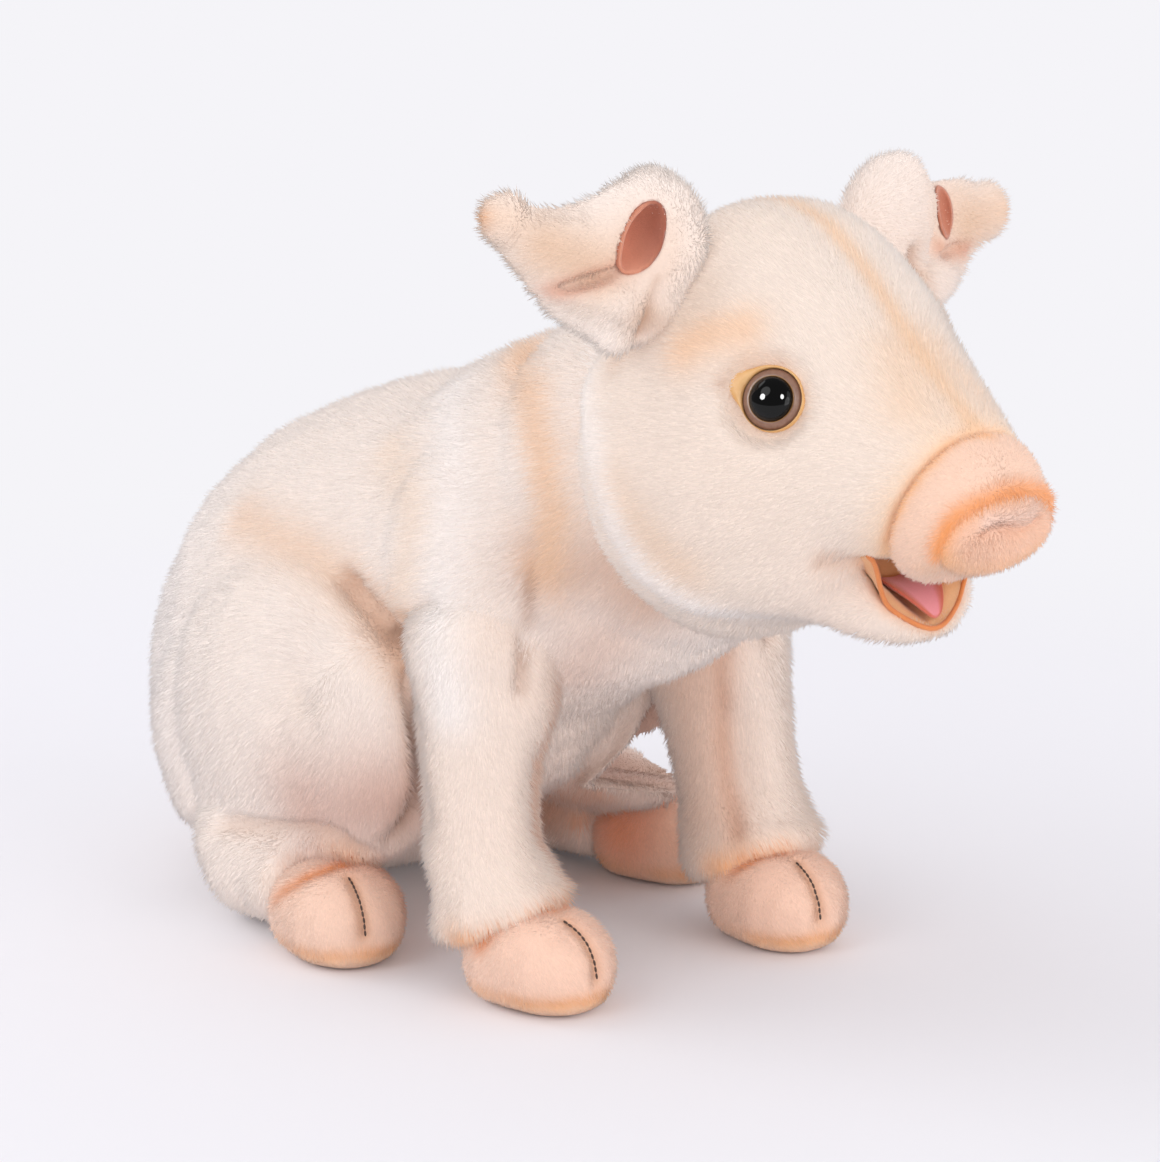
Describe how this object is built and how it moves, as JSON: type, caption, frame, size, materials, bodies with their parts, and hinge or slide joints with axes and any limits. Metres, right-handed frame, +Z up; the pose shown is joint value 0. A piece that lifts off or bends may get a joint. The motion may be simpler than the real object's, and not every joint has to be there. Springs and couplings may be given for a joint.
{
  "type": "plush pig",
  "caption": "Sitting stuffed toy piglet with short cream pile, peach snout and hooves, cupped ears, open mouth, ball-shaped neck and bending ears, legs and tail",
  "frame": {"origin": "the flat patch under the rump, at the middle of its left to right width, on the surface that the toy sits on", "axes": "+Z up; the piglet looks along -Y; +X is the piglet's own left"},
  "size_m": [0.1899, 0.3741, 0.2474],
  "materials": {
    "cream_plush": "short brushed pile, cream with airbrushed peach shading",
    "peach_plush": "very short peach pile",
    "rust_felt": "rust coloured brushed lining",
    "pink_felt": "pink felt",
    "eye_plastic": "clear glossy dome over a dark iris",
    "washer_plastic": "plain moulded",
    "lid_leather": "thin tan synthetic leather",
    "brown_thread": "dark brown sewing thread"
  },
  "bodies": {
    "body": {"torso": "cream_plush", "thigh_right": "cream_plush", "thigh_left": "cream_plush", "hind_leg_right": "cream_plush", "hind_leg_left": "cream_plush", "hind_hoof_right": "peach_plush", "hind_hoof_left": "peach_plush", "hind_cleft_thread_right": "brown_thread", "hind_cleft_thread_left": "brown_thread"},
    "neck": {"neck": "cream_plush"},
    "head": {"head": "cream_plush", "snout": "peach_plush", "nose_pad": "peach_plush", "lower_jaw": "cream_plush", "mouth_lining": "rust_felt", "tongue": "pink_felt", "eye_right": "eye_plastic", "eye_left": "eye_plastic", "eye_washer_right": "washer_plastic", "eye_washer_left": "washer_plastic", "eyelid_right": "lid_leather", "eyelid_left": "lid_leather"},
    "tail": {"tail": "cream_plush"},
    "ear_right": {"ear_right": "cream_plush", "ear_lining_right": "rust_felt"},
    "front_leg_right": {"front_leg_right": "cream_plush", "front_hoof_right": "peach_plush", "front_cleft_thread_right": "brown_thread"},
    "ear_left": {"ear_left": "cream_plush", "ear_lining_left": "rust_felt"},
    "front_leg_left": {"front_leg_left": "cream_plush", "front_hoof_left": "peach_plush", "front_cleft_thread_left": "brown_thread"}
  },
  "joints": [
    {"name": "neck_turn", "type": "hinge", "parent": "body", "child": "neck", "pos_m": [0, -0.16099, 0.152], "axis": [0, 0, 1], "range_deg": [-12, 12], "stiffness_Nm_per_rad": 0.8},
    {"name": "head_nod", "type": "hinge", "parent": "neck", "child": "head", "pos_m": [0, -0.16099, 0.152], "axis": [1, 0, 0], "range_deg": [-8, 8], "stiffness_Nm_per_rad": 1.5, "springref_deg": -1.49},
    {"name": "ear_right_bend", "type": "hinge", "parent": "head", "child": "ear_right", "pos_m": [-0.042, -0.203, 0.211], "axis": [0.7496, -0.1274, 0.6495], "range_deg": [-15, 15], "stiffness_Nm_per_rad": 0.05},
    {"name": "ear_left_bend", "type": "hinge", "parent": "head", "child": "ear_left", "pos_m": [0.042, -0.203, 0.211], "axis": [-0.5412, -0.0394, 0.84], "range_deg": [-15, 15], "stiffness_Nm_per_rad": 0.05},
    {"name": "front_leg_right_swing", "type": "hinge", "parent": "body", "child": "front_leg_right", "pos_m": [-0.044, -0.129, 0.10001], "axis": [1, 0, 0], "range_deg": [-8, 8], "stiffness_Nm_per_rad": 1.2},
    {"name": "front_leg_left_swing", "type": "hinge", "parent": "body", "child": "front_leg_left", "pos_m": [0.044, -0.129, 0.10001], "axis": [1, 0, 0], "range_deg": [-8, 8], "stiffness_Nm_per_rad": 1.2},
    {"name": "tail_wag", "type": "hinge", "parent": "body", "child": "tail", "pos_m": [0, 0.052, 0.078], "axis": [0, 0, 1], "range_deg": [-12, 12], "stiffness_Nm_per_rad": 0.02}
  ]
}
